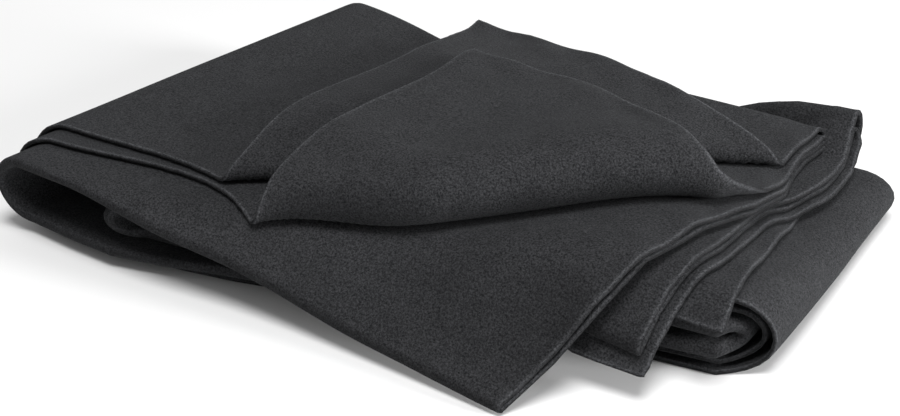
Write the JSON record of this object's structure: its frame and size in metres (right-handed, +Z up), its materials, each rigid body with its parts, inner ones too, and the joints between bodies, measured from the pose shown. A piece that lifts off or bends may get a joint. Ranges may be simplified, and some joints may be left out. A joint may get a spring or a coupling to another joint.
{
  "type": "welding drape",
  "caption": "Rectangular sheet of thick dark felt, folded into a low loose stack with open turns at its ends and one corner turned back over the top.",
  "frame": {"origin": "on the floor under the middle of the folded drape's box", "axes": "+X along the folded strip towards its right turn and free ends, +Y towards the folded back edges, +Z up"},
  "size_m": [0.4754, 0.3622, 0.112],
  "materials": {
    "felt": "matt needled felt, charcoal black, a little hairy at the cut edges"
  },
  "bodies": {
    "root": {"drape": "felt"}
  },
  "joints": []
}
